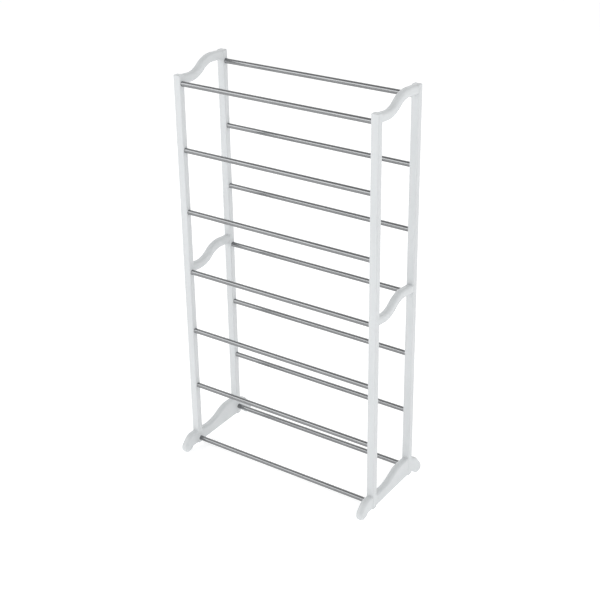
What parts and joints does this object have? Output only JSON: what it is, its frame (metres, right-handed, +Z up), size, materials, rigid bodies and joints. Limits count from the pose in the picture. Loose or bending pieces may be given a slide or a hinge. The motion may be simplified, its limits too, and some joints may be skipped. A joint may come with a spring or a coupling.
{
  "type": "tiered shoe rack",
  "caption": "Free-standing shoe rack: slanted shelves of steel tubes held between white plastic side frames, which stack from mouldings with S-shaped rails and rounded feet.",
  "frame": {"origin": "on the floor, midway between the feet", "axes": "+Z up, +X to the rack's right, -Y to its front, where the shelves are low"},
  "size_m": [0.546, 0.274, 0.9955],
  "materials": {
    "plastic_frame": "satin white moulded plastic",
    "steel_tube": "bright drawn steel tube"
  },
  "bodies": {
    "root": {"left_base": "plastic_frame", "left_lower_side": "plastic_frame", "left_upper_side": "plastic_frame", "right_base": "plastic_frame", "right_lower_side": "plastic_frame", "right_upper_side": "plastic_frame", "tier_1_front_tube": "steel_tube", "tier_1_back_tube": "steel_tube", "tier_2_front_tube": "steel_tube", "tier_2_back_tube": "steel_tube", "tier_3_front_tube": "steel_tube", "tier_3_back_tube": "steel_tube", "tier_4_front_tube": "steel_tube", "tier_4_back_tube": "steel_tube", "tier_5_front_tube": "steel_tube", "tier_5_back_tube": "steel_tube", "tier_6_front_tube": "steel_tube", "tier_6_back_tube": "steel_tube", "tier_7_front_tube": "steel_tube", "tier_7_back_tube": "steel_tube"}
  },
  "joints": []
}
